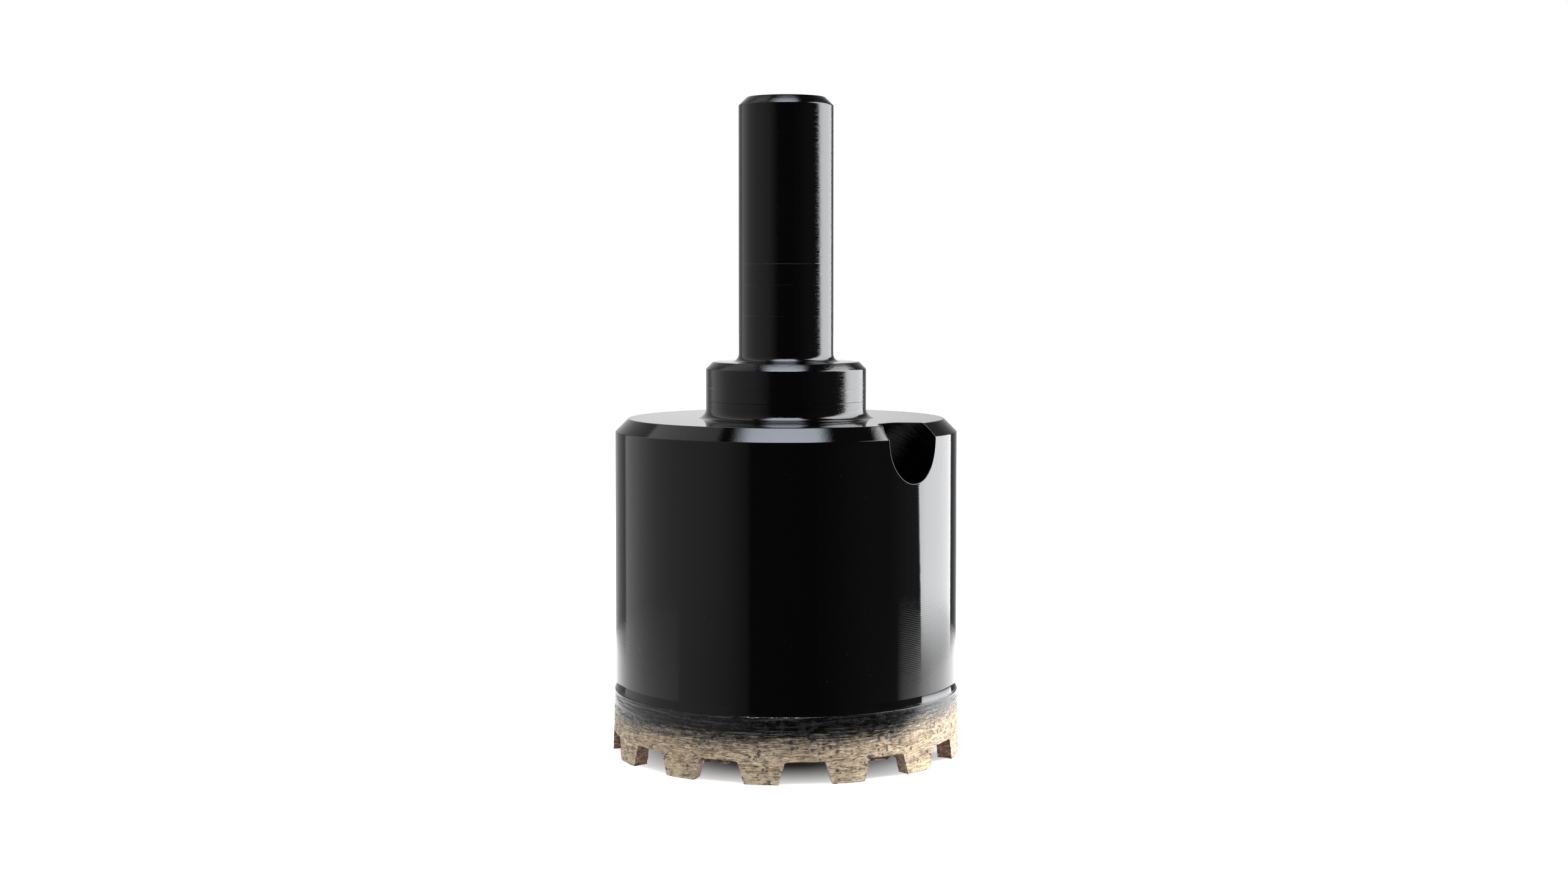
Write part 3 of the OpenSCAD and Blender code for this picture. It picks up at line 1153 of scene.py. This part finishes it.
def place_crystals(crown, settings, material):
    """Beds crystals in the tooth flanks, and a few in the outer wall."""
    chance = random.Random(CRYSTAL_SEED)
    flanks, wall = [], []
    for face in crown.data.polygons:
        if face.material_index == 1 and 0.15 * MM < face.center.z < 2 * MM:
            flanks.append(face)
        elif radius_of(face.normal) > 0.9 and radius_of(face.center) > CROWN_HIGH.x - MM:
            if 0.3 * MM < face.center.z < 6 * MM:
                wall.append(face)
    crystal = one_crystal(material)
    copies = []
    for number in range(settings.crystals):
        on_flank = number % 3 != 0
        face = chance.choice(flanks if on_flank else wall)
        if on_flank:
            face = min((face, chance.choice(flanks)), key=lambda f: f.center.z)
        size = chance.uniform(*CRYSTAL_SIZES) * MM * (1 if on_flank else 0.7)
        copy = crystal.copy()
        copy.data = crystal.data.copy()
        bpy.context.scene.collection.objects.link(copy)
        copy.location = face.center - face.normal * size * CRYSTAL_SUNK
        copy.rotation_euler = [chance.uniform(0, 2 * math.pi) for _ in range(3)]
        copy.scale = (size, size * chance.uniform(0.8, 1), size * chance.uniform(0.7, 1))
        copies.append(copy)
    remove(crystal)
    make_active(*copies)
    bpy.ops.object.join()
    return named("diamond_grit")


class BIT_OT_body(Operator):
    """Builds the painted steel body with its slanted ejection hole"""

    bl_idname = "mesh.bit_body"
    bl_label = "Steel Body"

    def execute(self, context):
        settings = context.scene.bit_body
        body = turn_body(settings)
        paint = painted_material(settings)
        body.data.materials.append(paint)
        cutter = hole_cutter(settings, drilled_material(settings))
        cut_by(body, cutter)
        tidy_mesh(body)
        lip = hole_lip(body, settings)
        lip.data.materials.append(paint)
        smooth(lip, 60)
        smooth(body)
        apply_modifier(body, "WEIGHTED_NORMAL", keep_sharp=True)
        finish_piece(body, "black_paint", "steel_body")
        finish_piece(lip, "black_paint")
        return {"FINISHED"}


class BIT_OT_crown(Operator):
    """Builds the slotted and ground crown and beds its crystals"""

    bl_idname = "mesh.bit_crown"
    bl_label = "Diamond Crown"

    def execute(self, context):
        settings = context.scene.bit_crown
        paint = context.scene.bit_body.paint
        bronze = crown_material("sintered_bronze", settings, paint)
        # The flank copy is painted darker, as painted shade in the slots
        flank = crown_material("flank_bronze", settings, paint, sides=True)
        crown = cut_crown(settings, (bronze, flank))
        wear_crown(crown, settings)
        grit = place_crystals(crown, settings, crystal_material())
        smooth(crown, 45)
        for gap in FLASH_GAPS:
            finish_piece(root_flash(settings, gap, flank), "sintered_bronze")
        finish_piece(crown, "sintered_bronze", "diamond_crown")
        finish_piece(grit, "sintered_bronze")
        return {"FINISHED"}


def studio_place(settings, right, near, level=0.0):
    """A place on the stage, given as the camera sees it: to the right, nearer, and up."""
    turn = settings.camera_turn
    side = Vector((math.cos(turn), math.sin(turn), 0))
    front = Vector((math.sin(turn), -math.cos(turn), 0))
    return side * right + front * near + Vector((0, 0, level))


def add_camera(settings):
    """Camera at the photograph's place. Its small shift frames the bit as the photograph does."""
    bpy.ops.object.camera_add(
        location=studio_place(settings, 0, settings.camera_range, settings.camera_h),
        rotation=(math.pi / 2 - settings.camera_pitch, 0, settings.camera_turn),
    )
    camera = bpy.context.object
    camera.name = "camera"
    camera.data.lens = settings.lens
    camera.data.sensor_width = SENSOR
    camera.data.shift_x = -AXIS_RIGHT / IMAGE_W
    camera.data.shift_y = -CENTRE_UP / IMAGE_W
    camera.data.clip_start = CLIP_START
    bpy.context.scene.camera = camera


def show_mix(tree, output, factor, first, second):
    """Shows a mix of two shaders: the first where the factor is 0 and the second where it is 1."""
    mix = add_node(
        tree, "ShaderNodeMixShader", {0: factor, 1: first.outputs[0], 2: second.outputs[0]}
    )
    tree.links.new(mix.outputs[0], output.inputs["Surface"])


def add_panel(name, middle, across, up, tint, shape):
    """A glowing panel that shows in the gloss but not to the camera. shape gives glow and outline."""
    bpy.ops.mesh.primitive_plane_add(size=1)
    panel = named(name)
    along, rise = across.normalized(), up.normalized()
    turned = Matrix((along, rise, along.cross(rise))).transposed().to_4x4()
    sized = Matrix.Diagonal((across.length, up.length, 1, 1))
    panel.matrix_world = Matrix.Translation(middle) @ turned @ sized
    made, tree, shader = new_material(name)
    tree.nodes.remove(shader)
    place = add_node(tree, "ShaderNodeTexCoord").outputs["Object"]
    share = vector_maths(tree, "ADD", place, (0.5, 0.5, 0))
    strength, inside = shape(tree, part_of(tree, share, "X"), part_of(tree, share, "Y"))
    glow = add_node(tree, "ShaderNodeEmission", {"Color": (*tint, 1), "Strength": strength})
    clear = add_node(tree, "ShaderNodeBsdfTransparent")
    show_mix(tree, tree.nodes["Material Output"], inside, clear, glow)
    panel.data.materials.append(made)
    panel.visible_camera = False
    panel.visible_shadow = False


def add_side_box(settings):
    """The upright softbox on the right, brightest at its near end and dim in its upper far part."""
    near_end = studio_place(settings, *SIDE_NEAR_END)
    far_end = studio_place(settings, *SIDE_FAR_END)
    height = SIDE_HIGH - SIDE_LOW

    def shape(tree, along, rise):
        level = straight(tree, rise, height, SIDE_LOW)
        # The glow falls off from the near end, and is cut off at the near end's own radiance
        fall = maths(tree, "POWER", maths(tree, "SUBTRACT", 1.0, along), 3.8)
        rising = straight(tree, fall, 11.0, settings.side_far)
        glow = maths(tree, "MINIMUM", rising, settings.side_near)
        # The near edge leans, the foot sinks and the head climbs towards the far end
        beside = maths(tree, "GREATER_THAN", along, straight(tree, level, -0.000734, 0.17))
        foot = times(tree, along, straight(tree, along, -26, -29))
        above = ease(tree, maths(tree, "SUBTRACT", level, foot), -9, 9)
        head = maths(tree, "MINIMUM", straight(tree, along, 223, 234), 325)
        below = ease(tree, maths(tree, "SUBTRACT", head, level), -22, 22)
        # A dark band and a slow fade in the upper far part
        upper = ease(tree, level, 130, 165)
        band = times(tree, upper, ease(tree, level, 292, 272), ease(tree, along, 0.58, 0.66))
        fade = times(tree, upper, ease(tree, along, 0.62, 1.0), 0.75)
        kept = maths(tree, "SUBTRACT", 1.0, maths(tree, "MAXIMUM", band, fade))
        return glow, times(tree, beside, above, below, kept)

    middle = (near_end + far_end) / 2 + Vector((0, 0, (SIDE_LOW + SIDE_HIGH) / 2 * MM))
    up = Vector((0, 0, height * MM))
    add_panel("side_softbox", middle, far_end - near_end, up, SIDE_TINT, shape)


def add_top_box(settings):
    """The overhead softbox, soft at its left, right and rear edges."""
    def shape(tree, along, rise):
        left, right = ease(tree, along, 0.02, 0.24), ease(tree, along, 0.97, 0.81)
        return settings.top_light, times(tree, left, right, ease(tree, rise, 0.0, 0.45))

    middle = studio_place(
        settings, (TOP_LEFT + TOP_RIGHT) / 2, (TOP_REAR + TOP_FRONT) / 2, TOP_LEVEL
    )
    across = studio_place(settings, TOP_RIGHT - TOP_LEFT, 0)
    depth = studio_place(settings, 0, TOP_FRONT - TOP_REAR)
    add_panel("top_softbox", middle, across, depth, TOP_TINT, shape)


def add_floor():
    """White floor. The camera sees it fade to plain white from under the bit outwards."""
    bpy.ops.mesh.primitive_plane_add(size=FLOOR_SIZE)
    floor = named("floor")
    made, tree, shader = new_material("floor_white")
    tree.nodes.remove(shader)
    reach = add_node(
        tree, "ShaderNodeVectorMath", {0: own_place(tree)}, operation="LENGTH"
    ).outputs["Value"]
    rim = CROWN_HIGH.x / MM
    share = add_node(
        tree, "ShaderNodeMapRange", {"Value": reach, "From Min": rim / 2, "From Max": rim + 1.6}
    ).outputs["Result"]
    # The glow grows away from the axis, so under and round the crown the floor keeps only its lit
    # shade: that shadow's fall-off is partly painted
    glow = add_node(tree, "ShaderNodeEmission", {"Strength": maths(tree, "POWER", share, 1.7)})
    matt = add_node(tree, "ShaderNodeBsdfDiffuse", {"Color": (0.8, 0.8, 0.8, 1)})
    both = add_node(tree, "ShaderNodeAddShader", {0: glow.outputs[0], 1: matt.outputs[0]})
    seen = add_node(tree, "ShaderNodeLightPath").outputs["Is Camera Ray"]
    show_mix(tree, tree.nodes["Material Output"], seen, matt, both)
    floor.data.materials.append(made)
    floor.visible_glossy = False


def ring_ramp(tree, turn, stops):
    """Grey for a turn round the axis, through these stops."""
    made = add_node(tree, "ShaderNodeValToRGB", {0: turn})
    elements = made.color_ramp.elements
    peak = max(grey for _, grey in stops)
    for index, (degrees, grey) in enumerate(stops):
        position = degrees / 360 + 0.5
        stop = elements[index] if index < 2 else elements.new(position)
        stop.position = position
        stop.color = (grey / peak, grey / peak, grey / peak, 1)
    return times(tree, part_of(tree, made.outputs["Color"], "X"), peak)


def past(tree, rise, degrees, half_width):
    """0 below an elevation and 1 above it, where rise is the upward part of a direction."""
    low, high = (math.sin(math.radians(degrees + part)) for part in (-half_width, half_width))
    return ease(tree, rise, low, high)


def add_world(settings):
    """Studio surroundings: plain white to the camera, grey walls and a pale table to the gloss."""
    world = bpy.data.worlds.new("studio")
    bpy.context.scene.world = world
    world.use_nodes = True
    tree = world.node_tree
    for old in list(tree.nodes):
        tree.nodes.remove(old)
    way = add_node(tree, "ShaderNodeTexCoord").outputs["Generated"]
    turned = add_node(
        tree, "ShaderNodeVectorRotate",
        {"Vector": way, "Angle": math.pi / 2 - settings.camera_turn}, rotation_type="Z_AXIS",
    ).outputs[0]
    turn = add_node(
        tree, "ShaderNodeTexGradient", {0: turned}, gradient_type="RADIAL"
    ).outputs["Fac"]
    rise = level_of(tree, way)
    grey = mixed(
        tree, past(tree, rise, TABLE_EDGE, 0.15), ring_ramp(tree, turn, TABLE),
        ring_ramp(tree, turn, WALLS),
    )
    on_right = maths(tree, "GREATER_THAN", turn, 0.5)
    high_right = times(tree, past(tree, rise, RIGHT_TOP, 6), on_right)
    high = maths(tree, "MAXIMUM", high_right, past(tree, rise, LEFT_TOP, 1.5))
    grey = mixed(tree, high, grey, DARK)
    grey = mixed(tree, past(tree, rise, NEAR_FLOOR, 5), FLOOR_GLOW, grey)
    studio = add_node(tree, "ShaderNodeBackground", {"Color": (1, 1, 1, 1), "Strength": grey})
    white = add_node(tree, "ShaderNodeBackground", {"Color": (1, 1, 1, 1), "Strength": 1.0})
    seen = add_node(tree, "ShaderNodeLightPath").outputs["Is Camera Ray"]
    show_mix(tree, add_node(tree, "ShaderNodeOutputWorld"), seen, studio, white)


class BIT_OT_stage(Operator):
    """Sets up the camera, the softboxes, the floor and the surroundings"""

    bl_idname = "scene.bit_stage"
    bl_label = "Studio Stage"

    def execute(self, context):
        settings = context.scene.bit_stage
        deselect_all()
        add_camera(settings)
        add_side_box(settings)
        add_top_box(settings)
        add_floor()
        add_world(settings)
        context.scene.view_settings.view_transform = "Standard"
        return {"FINISHED"}


class BIT_PT_panel(Panel):
    """Lists the pieces of the core bit"""

    bl_label = "Core Bit"
    bl_idname = "BIT_PT_panel"
    bl_space_type = "VIEW_3D"
    bl_region_type = "UI"
    bl_category = "Core Bit"

    def draw(self, context):
        for settings, operator in (
            (context.scene.bit_stage, "scene.bit_stage"),
            (context.scene.bit_body, "mesh.bit_body"),
            (context.scene.bit_crown, "mesh.bit_crown"),
        ):
            box = self.layout.box()
            for key in settings.__annotations__:
                box.prop(settings, key)
            box.operator(operator)


CLASSES = (
    BitBodySettings, BitCrownSettings, BitStageSettings,
    BIT_OT_body, BIT_OT_crown, BIT_OT_stage, BIT_PT_panel,
)


def register():
    """Registers the classes and hangs the settings on the scene."""
    for made in CLASSES:
        bpy.utils.register_class(made)
    bpy.types.Scene.bit_body = PointerProperty(type=BitBodySettings)
    bpy.types.Scene.bit_crown = PointerProperty(type=BitCrownSettings)
    bpy.types.Scene.bit_stage = PointerProperty(type=BitStageSettings)


def unregister():
    """Takes the settings and the classes away again."""
    del bpy.types.Scene.bit_stage
    del bpy.types.Scene.bit_crown
    del bpy.types.Scene.bit_body
    for made in reversed(CLASSES):
        bpy.utils.unregister_class(made)


def main():
    """Builds the stage and every piece in order."""
    register()
    bpy.ops.scene.bit_stage()
    bpy.ops.mesh.bit_body()
    bpy.ops.mesh.bit_crown()


if __name__ == "__main__":
    main()
